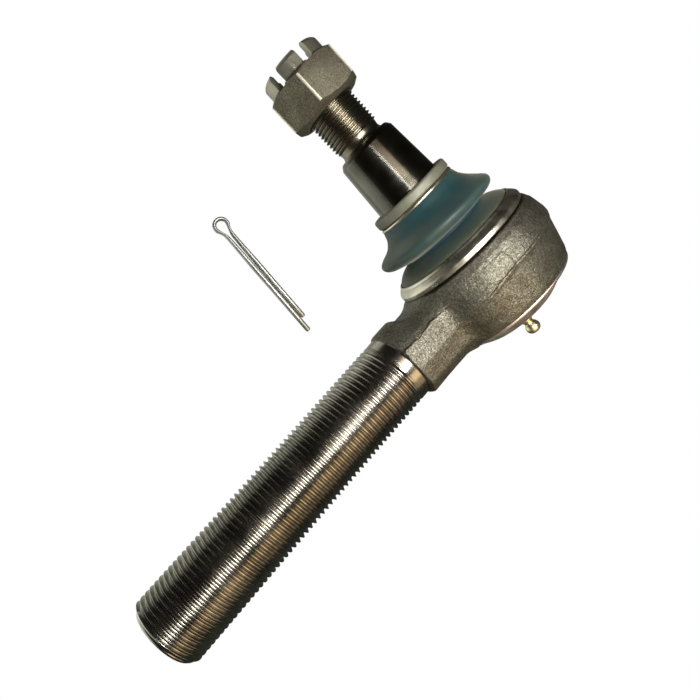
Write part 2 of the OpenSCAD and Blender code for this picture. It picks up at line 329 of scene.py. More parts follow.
# ---------------------------------------------------------------- the forging, as a distance field
def smoothstep(low, high, value):
    t = np.clip((value - low) / (high - low), 0, 1)
    return t * t * (3 - 2 * t)


def soft_min(a, b, k):
    h = np.clip(0.5 + 0.5 * (b - a) / k, 0, 1)
    return b + (a - b) * h - k * h * (1 - h)


def soft_max(a, b, k):
    return -soft_min(-a, -b, k)


def outline_distance(outline, r, z):
    """Signed distance from points (r, z) to a closed outline, negative inside."""
    distance = np.full(r.shape, 1e9, np.float32)
    inside = np.zeros(r.shape, bool)
    for (ax, az), (bx, bz) in zip(outline, outline[1:] + outline[:1]):
        ex, ez = bx - ax, bz - az
        t = np.clip(((r - ax) * ex + (z - az) * ez) / (ex * ex + ez * ez), 0, 1)
        distance = np.minimum(distance, np.hypot(r - ax - t * ex, z - az - t * ez))
        crosses = (az > z) != (bz > z)
        level = ax + (z - az) / (ez if ez else 1e-9) * ex
        inside ^= crosses & (r < level)
    return np.where(inside, -distance, distance)


RIDGE_Z = 2.2                    # parting ridge on the drum
RIDGE_DROP = 4.2                 # how far it falls towards the neck
FLASH_TOP = 8.3                  # upper edge of the sheared flash band on the drum
FLASH_HEIGHT = 0.17
DRUM_TOP_R = 30.3
DRUM_TOP_Z = 12.7
PANEL_LOW = -2.4                 # the same band on the neck
PANEL_HIGH = 6.2
STEP_DEPTH = 0.22                # the neck above the torn flash line stands back by this
CRACK_DEPTH = 0.22
NECK_HALF = 15.6
NECK_BOTTOM = -14.3
UPPER_CORNER = (13.4, 9.2)       # corners of the neck's section, as (half width, height)
TOP_CORNER = (8.2, 12.2)
LOWER_CORNER = (13.3, -9.8)
BOTTOM_CORNER = (8.5, NECK_BOTTOM)
WAIST_TOP = 11.9
BUMP_TOP = 15.0
RIM_R = 27.9                     # bright edge where the rolled lip starts
RIM_Z = -14.7
TEAR = [(0.3, 0.5, 0.6), (0.12, 1.4, 1.0), (0.05, 3.7, 0.4)]   # size, frequency, phase of its waves
FORGING_VOXEL = 0.3
FORGING_LOW = (-52.5, -34.4, -17.5)
FORGING_HIGH = (34.4, 34.4, 17.5)
TABLE_STEP = 0.15                # grid of the drum's distances, and its reach
TABLE_R = 62
TABLE_Z = 34

drum_outline = [
    (0, RIM_Z - 0.1), (RIM_R, RIM_Z - 0.1), (28.7, -13.7), (29.35, -12.2), (32.0, RIDGE_Z - 2.2),
    (DRUM_R - 0.3, RIDGE_Z - 0.8), (DRUM_R - 0.6, RIDGE_Z - 0.4), (DRUM_R, RIDGE_Z + 0.05),
    (DRUM_R - 0.1, 4.4), (31.7, 10.0), (DRUM_TOP_R, DRUM_TOP_Z), (0, DRUM_TOP_Z)]


def drum_distance(x, y, z):
    """The drum is turned, except that its ridge falls towards the neck."""
    r = np.hypot(x, y)
    near_ridge = np.exp(-((z - RIDGE_Z + 1) / 7) ** 2)
    level = z + RIDGE_DROP * smoothstep(4, 30, -x) * near_ridge
    radii = np.arange(0, TABLE_R, TABLE_STEP, dtype=np.float32)
    heights = np.arange(-TABLE_Z, TABLE_Z, TABLE_STEP, dtype=np.float32)
    table = outline_distance(drum_outline, *np.meshgrid(radii, heights, indexing="ij"))
    i = np.clip(r / TABLE_STEP, 0, len(radii) - 1.01)
    j = np.clip((level + TABLE_Z) / TABLE_STEP, 0, len(heights) - 1.01)
    i0, j0 = i.astype(int), j.astype(int)
    fi, fj = i - i0, j - j0
    near = table[i0, j0] * (1 - fj) + table[i0, j0 + 1] * fj
    far = table[i0 + 1, j0] * (1 - fj) + table[i0 + 1, j0 + 1] * fj
    return near * (1 - fi) + far * fi


def plane(y, z, a, b):
    """Distance outside the line from a to b in the plane of |y| and z, with the section on its left."""
    dy, dz = b[0] - a[0], b[1] - a[1]
    length = math.hypot(dy, dz)
    return ((y - a[0]) * dz - (z - a[1]) * dy) / length


def wavy(x):
    """Uneven course of the torn flash line along the neck."""
    return sum(a * np.sin(x * f + p) for a, f, p in TEAR)


def flash_land(x, y, z):
    """How far the sheared flash stands proud of the drum, on the two sides of the shank."""
    turn = np.degrees(np.arctan2(-np.abs(y), x))
    across = smoothstep(-126, -112, turn) * (1 - smoothstep(-100.2, -98.8, turn))
    upper_edge = smoothstep(FLASH_TOP - 0.25, FLASH_TOP + 0.25, z + 0.12 * wavy(x))
    along = smoothstep(1.0, 1.8, z) * (1 - upper_edge)
    return FLASH_HEIGHT * across * along


def neck_distance(x, y, z):
    """Neck with two upper and two lower facets a side, and a torn flash line above its panel."""
    side = np.abs(y)
    top = WAIST_TOP + (BUMP_TOP - WAIST_TOP) * smoothstep(37.5, 43.0, -x)
    edge = 0.2
    torn = z - (PANEL_HIGH + wavy(x))
    step = STEP_DEPTH * smoothstep(-0.2, 0.2, torn)
    crack = CRACK_DEPTH * np.exp(-(torn / 0.3) ** 2)
    upper = soft_max(plane(side, z, (NECK_HALF - 0.1, PANEL_HIGH), UPPER_CORNER),
                     plane(side, z, UPPER_CORNER, TOP_CORNER), 0.8)
    body = soft_max(upper + step, z - top, 1.4)
    body = soft_max(body, side - NECK_HALF + step + crack, edge)
    body = soft_max(body, plane(side, z, LOWER_CORNER, (NECK_HALF, PANEL_LOW)), edge)
    body = soft_max(body, plane(side, z, BOTTOM_CORNER, LOWER_CORNER), 0.7)
    body = soft_max(body, NECK_BOTTOM - z, 0.8)
    # the cone that ends the neck at the collar
    turned = np.hypot(y, z)
    cone = ((-x - (NECK_END - 4.2)) * 9.7 + (turned - 23.5) * 5.2) / math.hypot(9.7, 5.2)
    body = soft_max(body, cone, 0.3)
    body = soft_max(body, -x - NECK_END - 0.4, 0.4)
    return soft_max(body, x + 8, 0.5)


def forging_distance(x, y, z):
    drum = drum_distance(x, y, z) - flash_land(x, y, z)
    body = soft_min(drum, neck_distance(x, y, z), 4.5)
    lumps = (0.10 * np.sin(x * 0.31 + 1.3 * np.sin(y * 0.17)) * np.sin(y * 0.27 + 0.8 * np.sin(z * 0.23))
             + 0.05 * np.sin(x * 0.9 + z * 0.7) * np.sin(y * 0.8 - z * 0.6 + 1.0))
    below_rim = RIM_Z - z - 40 * smoothstep(-26, -30, x)      # cut level under the drum, not under the neck
    body = np.maximum(body + lumps * 0.5, below_rim)
    return np.maximum(body, FORGING_BORE_R - np.hypot(x, y))


def grown_mesh(name, low, high, voxel, distance):
    """Mesh of the zero level of a distance function, both in millimetres."""
    axes = [np.arange(a, b + voxel, voxel, dtype=np.float32) for a, b in zip(low, high)]
    x, y, z = np.meshgrid(*axes, indexing="ij")
    field = distance(x, y, z).astype(np.float32)
    band = 3 * voxel
    grid = openvdb.FloatGrid(band)
    grid.copyFromArray(np.clip(field, -band, band))
    points, quads = grid.convertToQuads()
    points = points.astype(float) * voxel + np.array(low)
    return make_object(name, points, quads.tolist())


def roughen(obj, amount, scale):
    """Moves each point along its normal by a little noise, in millimetres."""
    mesh = obj.data
    count = len(mesh.vertices)
    places = np.zeros(count * 3, np.float32)
    normals = np.zeros(count * 3, np.float32)
    mesh.vertices.foreach_get("co", places)
    mesh.vertices.foreach_get("normal", normals)
    places = places.reshape(-1, 3)
    normals = normals.reshape(-1, 3)
    shift = np.array([noise.fractal(Vector(p) / (scale * MM), 0.8, 2.0, 3) for p in places.astype(float)])
    places += normals * (shift[:, None] * amount * MM)
    mesh.vertices.foreach_set("co", places.ravel())
    mesh.update()


# ---------------------------------------------------------------- materials
class Nodes:
    """Short way to build the node tree of a material or a world."""

    def __init__(self, owner, coordinates="Object"):
        owner.use_nodes = True
        self.owner = owner
        self.tree = owner.node_tree
        self.place = self.add("ShaderNodeTexCoord").outputs[coordinates]

    def add(self, kind, **values):
        node = self.tree.nodes.new(kind)
        for key, value in values.items():
            setattr(node, key, value)
        return node

    def link(self, source, target):
        self.tree.links.new(source, target)

    def set(self, **values):
        """Sets constants on the Principled shader, by socket name with underscores."""
        for key, value in values.items():
            self.shader.inputs[key.replace("_", " ")].default_value = value

    def stretched(self, scale):
        mapping = self.add("ShaderNodeMapping")
        mapping.inputs["Scale"].default_value = scale
        self.link(self.place, mapping.inputs["Vector"])
        return mapping.outputs["Vector"]

    def noise(self, size_mm, detail=3.0, rough=0.55, stretch=None, distortion=0.0):
        texture = self.add("ShaderNodeTexNoise")
        texture.inputs["Scale"].default_value = 1 / (size_mm * MM)
        texture.inputs["Detail"].default_value = detail
        texture.inputs["Roughness"].default_value = rough
        texture.inputs["Distortion"].default_value = distortion
        self.link(self.stretched(stretch) if stretch else self.place, texture.inputs["Vector"])
        return texture.outputs["Fac"]

    def ramp(self, value, low, high, start=0.0, end=1.0):
        """Maps value from low..high to start..end."""
        node = self.add("ShaderNodeMapRange")
        node.inputs["From Min"].default_value = low
        node.inputs["From Max"].default_value = high
        node.inputs["To Min"].default_value = start
        node.inputs["To Max"].default_value = end
        self.link(value, node.inputs["Value"])
        return node.outputs["Result"]

    def colours(self, value, *stops):
        """Colour ramp from (position, (r, g, b)) stops."""
        node = self.add("ShaderNodeValToRGB")
        elements = node.color_ramp.elements
        while len(elements) < len(stops):
            elements.new(0.5)
        for element, (position, colour) in zip(elements, stops):
            element.position = position
            element.color = (*colour, 1)
        self.link(value, node.inputs["Fac"])
        return node.outputs["Color"]

    def mix(self, factor, a, b):
        node = self.add("ShaderNodeMix", data_type="RGBA")
        for socket, value in ((node.inputs["Factor"], factor), (node.inputs[6], a), (node.inputs[7], b)):
            if isinstance(value, (int, float)):
                socket.default_value = value
            elif isinstance(value, tuple):
                socket.default_value = (*value, 1)
            else:
                self.link(value, socket)
        return node.outputs[2]

    def math(self, operation, a, b=0.0):
        node = self.add("ShaderNodeMath", operation=operation)
        for socket, value in zip(node.inputs, (a, b)):
            if isinstance(value, (int, float)):
                socket.default_value = value
            else:
                self.link(value, socket)
        return node.outputs[0]

    def axis(self, name):
        """One coordinate of the place, in millimetres."""
        node = self.add("ShaderNodeSeparateXYZ")
        self.link(self.place, node.inputs[0])
        return self.math("MULTIPLY", node.outputs[name], 1 / MM)

    def radius(self):
        """Distance from the Z axis, in millimetres."""
        x, y = self.axis("X"), self.axis("Y")
        return self.math("SQRT", self.math("ADD", self.math("MULTIPLY", x, x), self.math("MULTIPLY", y, y)))

    def bump(self, height, depth_mm, strength=1.0, under=None):
        node = self.add("ShaderNodeBump")
        node.inputs["Distance"].default_value = depth_mm * MM
        node.inputs["Strength"].default_value = strength
        self.link(height, node.inputs["Height"])
        if under is not None:
            self.link(under, node.inputs["Normal"])
        return node.outputs["Normal"]

    def finish(self, colour, roughness, normal):
        for value, socket in ((colour, "Base Color"), (roughness, "Roughness"), (normal, "Normal")):
            self.link(value, self.shader.inputs[socket])
        return self.owner

    def glow(self, kind, colour):
        """Emission or Background of a plain colour."""
        node = self.add(kind)
        node.inputs["Color"].default_value = (*colour, 1)
        return node.outputs[0]

    def mix_shaders(self, factor, a, b):
        node = self.add("ShaderNodeMixShader")
        for socket, value in zip(node.inputs, (factor, a, b)):
            self.link(value, socket)
        return node.outputs[0]

    def looked_at(self):
        """1 for what the camera sees directly or through the boot, 0 for reflections and light."""
        path = self.add("ShaderNodeLightPath")
        return self.math("MAXIMUM", path.outputs["Is Camera Ray"], path.outputs["Is Transmission Ray"])


def surface(name, **constants):
    """Nodes of a new material with a Principled shader."""
    n = Nodes(bpy.data.materials.new(name))
    n.shader = n.tree.nodes["Principled BSDF"]
    n.set(**constants)
    return n


def forged_steel():
    """Shot-blasted forging: leathery grain, warm grey-brown, with darker scale in the hollows."""
    n = surface("forged_steel", Metallic=0.9)
    patches = n.noise(7, 4, 0.65)
    grain = n.noise(0.75, 3, 0.6, distortion=0.5)
    fine = n.noise(0.33, 2, 0.6)
    base = n.colours(patches, (0.3, (0.132, 0.121, 0.088)), (0.5, (0.194, 0.185, 0.146)),
                     (0.7, (0.237, 0.232, 0.19)))
    base = n.mix(n.ramp(grain, 0.42, 0.55, 0.66, 0.0), base, (0.055, 0.048, 0.033))
    base = n.mix(n.ramp(fine, 0.38, 0.52, 0.64, 0.0), base, (0.04, 0.034, 0.023))
    # painted shade: a dark line along the torn flash on the neck, standing for the shadow in its crack
    x, y = n.axis("X"), n.axis("Y")
    torn = n.math("SUBTRACT", n.axis("Z"), PANEL_HIGH)
    for size, frequency, phase in TEAR:
        wave = n.math("SINE", n.math("ADD", n.math("MULTIPLY", x, frequency), phase))
        torn = n.math("SUBTRACT", torn, n.math("MULTIPLY", wave, size))
    near = n.ramp(n.math("ABSOLUTE", torn), 0.05, 0.4, 0.75, 0.0)
    on_neck = n.math("MULTIPLY", n.ramp(x, -31, -27, 1.0, 0.0), n.ramp(n.math("ABSOLUTE", y), 10, 12))
    base = n.mix(n.math("MULTIPLY", near, on_neck), base, (0.035, 0.028, 0.018))
    bumps = n.bump(grain, 0.15, 1.0, n.bump(n.noise(3.0, 2, 0.5), 0.16, 0.4))
    return n.finish(base, n.ramp(grain, 0.3, 0.7, 0.58, 0.44), n.bump(fine, 0.115, 1.0, bumps))


def machined_steel(name, colour, along, rough, above=None):
    """Turned steel with fine tool lines across the axis along.

    above gives a height, and the colour and the added roughness from there up.
    """
    n = surface(name, Metallic=1.0)
    lines = n.noise(0.16, 2, 0.6, {"X": (1, 0.02, 0.02), "Z": (0.02, 0.02, 1)}[along])
    film = n.noise(9, 2, 0.5)
    base = n.mix(n.ramp(film, 0.35, 0.7), tuple(c * 0.66 for c in colour), colour)
    roughness = n.math("ADD", n.ramp(film, 0.3, 0.7, *rough), n.ramp(lines, 0.3, 0.7, -0.03, 0.04))
    if above:
        height, other, rougher = above
        upper = n.ramp(n.axis("Z"), height - 0.5, height + 0.5)
        base = n.mix(upper, base, other)
        roughness = n.math("ADD", roughness, n.math("MULTIPLY", upper, rougher))
    spots = n.noise(1.6, 3, 0.6)
    base = n.mix(n.ramp(spots, 0.64, 0.75, 0.0, 0.35), base, tuple(c * 0.4 for c in colour))
    return n.finish(base, roughness, n.bump(lines, 0.02, 0.5))


def nut_steel():
    """Phosphated nut: matte and grainy, bright where the corners are worn and on the machined crown."""
    n = surface("nut_steel", Metallic=0.8)
    patches = n.noise(6, 3, 0.6)
    grain = n.noise(0.4, 3, 0.65)
    base = n.colours(patches, (0.3, (0.165, 0.145, 0.105)), (0.6, (0.245, 0.23, 0.165)),
                     (0.8, (0.29, 0.275, 0.205)))
    base = n.mix(n.ramp(grain, 0.42, 0.6, 0.75, 0.0), base, (0.055, 0.046, 0.032))
    uneven = n.math("ADD", n.radius(), n.math("MULTIPLY", grain, 0.3))
    base = n.mix(n.ramp(uneven, NUT_CORNER_R - 0.2, NUT_CORNER_R - 0.05), base, (0.80, 0.74, 0.60))
    hex_top = nut_low.z + NUT_HEX_H
    crown = n.ramp(n.axis("Z"), hex_top - 0.2, hex_top + 0.4)
    base = n.mix(n.math("MULTIPLY", crown, 0.55), base, (0.46, 0.44, 0.35))
    rough = n.math("SUBTRACT", n.ramp(grain, 0.3, 0.7, 0.56, 0.44), n.math("MULTIPLY", crown, 0.17))
    return n.finish(base, rough, n.bump(grain, 0.10, 0.8))


def bright_steel(name, colour=(0.68, 0.635, 0.53), rough=(0.25, 0.36)):
    """Plated steel: nearly a mirror, with hazy patches and fine scratches."""
    n = surface(name, Metallic=1.0)
    film = n.noise(5, 3, 0.6)
    scratches = n.noise(0.25, 2, 0.6, (0.15, 0.15, 1))
    base = n.mix(n.ramp(film, 0.35, 0.7), tuple(c * 0.8 for c in colour), colour)
    roughness = n.math("ADD", n.ramp(film, 0.35, 0.7, *rough), n.ramp(scratches, 0.4, 0.7, 0.0, 0.05))
    return n.finish(base, roughness, n.bump(scratches, 0.01, 0.4))


def pin_zinc():
    """Zinc-plated wire, drawn smooth, with a faint cloudy bloom."""
    n = surface("pin_zinc", Metallic=1.0)
    fine = n.noise(1.2, 2, 0.6)
    base = n.colours(n.noise(5, 3, 0.6), (0.3, (0.33, 0.33, 0.305)), (0.7, (0.42, 0.425, 0.40)))
    return n.finish(base, n.ramp(fine, 0.3, 0.7, 0.46, 0.54), n.bump(fine, 0.004, 0.3))


def boot_polyurethane():
    """Translucent blue-grey moulding, a deeper blue in its groove as painted shade, and taupe on its skirt and
    its widest fold as painted light shining through the thin wall.
    """
    n = surface("boot_polyurethane", Metallic=0.0, IOR=1.48, Specular_IOR_Level=0.24, Sheen_Weight=0.3,
                Sheen_Roughness=0.4, Sheen_Tint=(0.50, 0.47, 0.34, 1), Subsurface_Weight=0.35,
                Subsurface_Radius=(0.0035, 0.0045, 0.0045), Subsurface_Scale=1.0)
    fine = n.noise(1.1, 3, 0.6)
    height = n.axis("Z")
    base = n.colours(n.noise(11, 3, 0.6), (0.3, (0.011, 0.036, 0.043)), (0.7, (0.022, 0.053, 0.051)))
    # painted shade: a deeper blue in the groove between the folds
    groove_shade = n.math("MULTIPLY", n.ramp(height, 20.5, 22.5), n.ramp(height, 23.5, 25.5, 1.0, 0.0))
    base = n.mix(n.math("MULTIPLY", groove_shade, 0.6), base, (0.006, 0.026, 0.046))
    # painted light shining through the thin wall: taupe on the widest fold and, below, on the skirt
    fold = n.math("MULTIPLY", n.ramp(n.radius(), 24.0, 26.2), n.ramp(height, 22.5, 24.0))
    base = n.mix(n.math("MULTIPLY", fold, 0.22), base, (0.07, 0.068, 0.048))
    base = n.mix(n.ramp(height, 18.5, 21.5, 1.0, 0.0), base, (0.062, 0.062, 0.040))
    return n.finish(base, n.ramp(fine, 0.35, 0.7, 0.40, 0.52), n.bump(fine, 0.05, 0.35))


def neck_ring_plastic():
    """Beige satin ring with faint moulding lines."""
    n = surface("neck_ring_plastic", Metallic=0.3)
    fine = n.noise(0.5, 3, 0.6, (0.3, 0.3, 1))
    base = n.colours(n.noise(5, 3, 0.6), (0.3, (0.125, 0.125, 0.09)), (0.7, (0.165, 0.165, 0.122)))
    return n.finish(base, n.ramp(fine, 0.3, 0.7, 0.48, 0.6), n.bump(fine, 0.03, 0.5))


def nipple_brass():
    n = surface("nipple_brass", Metallic=1.0)
    film = n.noise(2, 3, 0.6)
    base = n.colours(film, (0.3, (0.72, 0.60, 0.33)), (0.7, (0.95, 0.87, 0.60)))
    return n.finish(base, n.ramp(film, 0.3, 0.7, 0.28, 0.4), n.bump(n.noise(0.2, 2, 0.6), 0.01, 0.4))


def soft_plastic(name, low, high):
    n = surface(name)
    fine = n.noise(0.5, 3, 0.6)
    base = n.colours(n.noise(3, 3, 0.6), (0.3, low), (0.7, high))
    return n.finish(base, n.ramp(fine, 0.3, 0.7, 0.4, 0.55), n.bump(fine, 0.03, 0.4))


finishes = {
    "forged_steel": forged_steel(),
    "shank_steel": machined_steel("shank_steel", (0.32, 0.30, 0.26), "X", (0.18, 0.26)),
    "acetal": soft_plastic("acetal", (0.62, 0.58, 0.46), (0.78, 0.75, 0.64)),
    "spring_steel": bright_steel("spring_steel", (0.34, 0.34, 0.35), (0.28, 0.42)),
    "pressed_steel": machined_steel("pressed_steel", (0.50, 0.45, 0.39), "Z", (0.26, 0.42)),
    "seal_rubber": soft_plastic("seal_rubber", (0.012, 0.012, 0.012), (0.03, 0.03, 0.03)),
    "nipple_brass": nipple_brass(),
    "bearing_steel": bright_steel("bearing_steel", (0.75, 0.75, 0.76), (0.05, 0.12)),
    "stud_steel": machined_steel("stud_steel", (0.125, 0.12, 0.10), "Z", (0.14, 0.20),
                                 above=(TAPER_TOP + 1.5, (0.19, 0.17, 0.13), 0.08)),
    # the spigot: dark oily steel, made nearly black as painted shade in the gap under the retainer ring
    "spigot_steel_painted_shade": machined_steel("spigot_steel_painted_shade", (0.07, 0.06, 0.045), "Z", (0.35, 0.5)),
    "boot_polyurethane": boot_polyurethane(),
    "ring_steel": bright_steel("ring_steel"),
    "lip_steel": bright_steel("lip_steel", (0.74, 0.63, 0.55), (0.36, 0.48)),
    "neck_ring_plastic": neck_ring_plastic(),
    "nut_steel": nut_steel(),
    "pin_zinc": pin_zinc(),
}


def place(obj, body, slot, nodes=(), finish=None):
    """Gives a piece its finish and its body, and hides the CAD nodes that it stands for."""
    obj.data.materials.clear()
    obj.data.materials.append(finishes[finish or slot])
    if body:
        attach(obj, body)
    if nodes:
        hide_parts(*nodes)


# ---------------------------------------------------------------- the pieces
def build_housing():
    forging = grown_mesh("housing_forging", FORGING_LOW, FORGING_HIGH, FORGING_VOXEL, forging_distance)
    roughen(forging, amount=0.05, scale=1.5)
    place(forging, "housing", "forged_steel", ["housing"])

    edge = SPIGOT_R - 0.1
    spigot = lathe("housing_spigot", [
        (20.6, 5, 0), (20.6, 9, 0.3), (18.2, 9.4, 0.3), (18.2, SPIGOT_TOP - 0.6, 0.3), (18.8, SPIGOT_TOP, 0.3),
        (SPIGOT_R - 0.7, SPIGOT_TOP, 0.2), (edge, SPIGOT_TOP - 0.6, 0.2), (edge, DRUM_TOP_Z + 0.2, 0.3),
        (28.6, DRUM_TOP_Z + 0.12, 0.3), (28.6, DRUM_TOP_Z - 1.5, 0), (23, DRUM_TOP_Z - 1.5, 0),
        (FORGING_BORE_R, 5, 0)], closed=True)
    # nearly black finish: painted shade in the gap under the retainer ring
    place(spigot, "housing", "forged_steel", finish="spigot_steel_painted_shade")

    lip = lathe("housing_rolled_lip", [
        (FORGING_BORE_R, -13.5, 0), (FORGING_BORE_R, -16.4, 0.2), (20.6, -17.0, 0.2), (20.6, -17.8, 0.2),
        (LIP_R, -17.8, 0.2), (LIP_R, -19.9, 0.4), (17.6, BOTTOM + 0.05, 0.5), (18.7, BOTTOM + 0.25, 0.5),
        (20.2, -19.7, 1), (22.4, -18.2, 1), (24.7, -16.8, 0.6), (26.5, -15.75, 0.3), (27.2, RIM_Z - 0.9, 0.3),
        (RIM_R + 0.25, RIM_Z - 0.6, 0.4), (RIM_R + 0.55, RIM_Z + 0.1, 0.4), (RIM_R + 0.3, RIM_Z + 0.6, 0)],
        closed=True)
    place(lip, "housing", "forged_steel", finish="lip_steel")

    shank = threaded_bar(
        "housing_shank", before=[(0, 44), (COLLAR_R - 0.4, 44), (COLLAR_R, 44.4), (COLLAR_R, 50)],
        start=53.2, end=SHANK_END, crest=SHANK_R - 0.02, pitch=SHANK_PITCH,
        after=[(SHANK_R - SHANK_CHAMFER - 0.5, SHANK_END), (4, SHANK_END), (2.2, SHANK_END - 1.6),
               (0, SHANK_END - 2.4)],
        runout=5.5, runout_r=COLLAR_R, chamfer=SHANK_CHAMFER, segments=120)
    shank.data.transform(Matrix.Rotation(-math.pi / 2, 4, "Y"))
    place(shank, "housing", "forged_steel", finish="shank_steel")


def build_stud():
    flare = taper_at(38)
    small = taper_at(TAPER_TOP)
    ball_top = math.sqrt(BALL_R ** 2 - STUD_NECK_R ** 2)
    flat_z = stud_low.z
    flat_angle = math.atan2(flat_z, math.sqrt(BALL_R ** 2 - flat_z ** 2))
    neck_angle = math.atan2(ball_top, STUD_NECK_R)
    ball = [(0, flat_z)]
    for i in range(25):
        a = flat_angle + (neck_angle - flat_angle) * i / 24
        ball.append((BALL_R * math.cos(a), BALL_R * math.sin(a)))
    neck = rounded([
        (STUD_NECK_R, ball_top + 0.6, 0), (STUD_NECK_R, 24, 1.5), (10.6, 28, 2), (12, 32, 2), (flare, 36, 1.5),
        (flare, 38, 0.4), (taper_at(52), 52, 0), (small + 0.03, TAPER_TOP - 0.5, 0.5),
        (small - 1.3, TAPER_TOP + 1.3, 0.5), (9.4, TAPER_TOP + 1.5, 0.5), (8.9, TAPER_TOP + 2.4, 0.5),
        (8.85, STUD_THREAD_START - 1.2, 0)])
    tip = stud_high.z
    stud = threaded_bar(
        "ball_stud_turned", before=ball + neck, start=STUD_THREAD_START - 0.4, end=tip - 0.05,
        crest=STUD_THREAD_R - 0.02, pitch=STUD_PITCH,
        after=[(STUD_THREAD_R - 1.9, tip - 0.02), (3.2, tip - 0.02), (1.6, tip - 1.4), (0, tip - 2)],
        runout=1.4, runout_r=9.0, chamfer=1.3, segments=TURNED)
    hole = bar(40, PIN_HOLE_R, -14, 14)
    hole.data.transform(Matrix.Rotation(math.pi / 2, 4, "Y"))
    hole.data.transform(Matrix.Rotation(SLOT_TURN, 4, "Z"))
    hole.data.transform(Matrix.Translation((0, 0, PIN_HOLE_Z * MM)))
    carve(stud, hole)
    sharpen(stud, 50)
    place(stud, "stud", "stud_steel", ["ball_stud"])


def build_nut():
    low, high = nut_low.z, nut_high.z
    hex_top = low + NUT_HEX_H
    half, wide, bore_r = NUT_FLATS / 2, NUT_CORNER_R + 0.2, STUD_THREAD_R + 0.12
    nut = bar(6, NUT_CORNER_R, low, hex_top, NUT_TURN)
    envelope = lathe("cutter", [
        (0, low, 0), (12.9, low, 0), (half - 0.2, low + 0.9, 0), (wide, low + 2.5, 0),
        (wide, hex_top - 1.9, 0), (half - 0.5, hex_top, 0), (0, hex_top, 0)], segments=TURNED)
    carve(nut, envelope, "INTERSECT")
    crown = lathe("cutter", [
        (0, hex_top - 2, 0), (NUT_CROWN_R, hex_top - 2, 0), (NUT_CROWN_R, high - 1.3, 0.6),
        (NUT_CROWN_R - 1.2, high, 0.8), (0, high, 0)], segments=TURNED)
    carve(nut, crown, "UNION")
    bore = lathe("cutter", [
        (0, low - 1, 0), (STUD_THREAD_R + 1.6, low - 1, 0), (bore_r, low + 0.9, 0), (bore_r, high - 0.8, 0),
        (STUD_THREAD_R + 1.4, high + 0.5, 0), (0, high + 0.5, 0)], segments=TURNED)
    carve(nut, bore)
    corners = ((-20, -NUT_SLOT / 2), (20, -NUT_SLOT / 2), (20, NUT_SLOT / 2), (-20, NUT_SLOT / 2))
    for i in range(3):
        slot = sweep("cutter", [[(x, y, z) for x, y in corners] for z in (hex_top - 0.6, high + 1)])
        slot.data.transform(Matrix.Rotation(SLOT_TURN + i * math.pi / 3, 4, "Z"))
        carve(nut, slot)
    nut.name = "slotted_nut_worn"
    bevel(nut, 0.4, 3, 24)
    for polygon in nut.data.polygons:
        polygon.use_smooth = True
    sharpen(nut, 32)
    place(nut, "nut", "nut_steel", ["slotted_nut"])


def smooth_outline(points, per_span):
    """Curve through the points (Catmull-Rom)."""
    result = []
    padded = [points[0], *points, points[-1]]
    for a, b, c, d in zip(padded, padded[1:], padded[2:], padded[3:]):
        for t in (s / per_span for s in range(per_span)):
            result.append(tuple(
                0.5 * (2 * q + (r - p) * t + (2 * p - 5 * q + 4 * r - w) * t * t
                       + (3 * q - p - 3 * r + w) * t ** 3)
                for p, q, r, w in zip(a, b, c, d)))
    result.append(points[-1])
    return result


BOOT_OUTER = [(27.2, 13.9), (27.3, 15.8), (26.6, 17.6), (25.9, 18.9), (24.6, 20.0), (22.9, 21.0), (20.8, 21.8),
              (19.1, 22.6), (18.7, 23.2), (19.6, 23.8), (22.4, 24.3), (24.8, 25.0), (26.0, 26.0), (26.4, 27.2),
              (26.0, 28.4), (24.7, 29.5), (22.7, 30.8), (20.8, 32.2), (19.4, 33.7), (18.3, 35.3), (17.7, 37.0),
              (17.2, 38.3)]
BOOT_WALL = 1.1


def build_boot():
    outer = smooth_outline(BOOT_OUTER, 4)
    inner = []
    for i, (r, z) in enumerate(outer):
        before, after = outer[max(i - 1, 0)], outer[min(i + 1, len(outer) - 1)]
        tr, tz = after[0] - before[0], after[1] - before[1]
        length = math.hypot(tr, tz)
        inner.append((max(r - tz / length * BOOT_WALL, 14.6), z + tr / length * BOOT_WALL))
    collar = [(16.4, 39.0), (15.2, 39.2), (14.5, 38.8), (14.45, 37.4)]
    foot = [(25.8, 14.6), (26.0, 13.7), (26.9, 13.5)]
    points, rows = [], []
    for r, z in outer + collar + inner[::-1][4:-4] + foot:
        # the widest fold sags and leans to one side, as in the photo
        lean = math.exp(-((z - 27.5) / 4.2) ** 2) * max(0.0, min(1.0, (r - 18) / 6))
        rows.append(range(len(points), len(points) + ROUND))
        for s in range(ROUND):
            a = 2 * math.pi * s / ROUND
            radius = r - lean * (1.1 * math.cos(a) + 0.12 * math.sin(3 * a + 0.6))
            height = z + lean * (0.2 - 1.0 * math.cos(a))
            points.append((radius * math.cos(a), radius * math.sin(a), height))
    faces = []
    join(faces, rows + rows[:1], ROUND)
    boot = sharpen(make_object("dust_boot_moulded", points, faces), 70)
    place(boot, None, "boot_polyurethane", ["dust_boot", "boot_bead_ring"])
    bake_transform(boot)


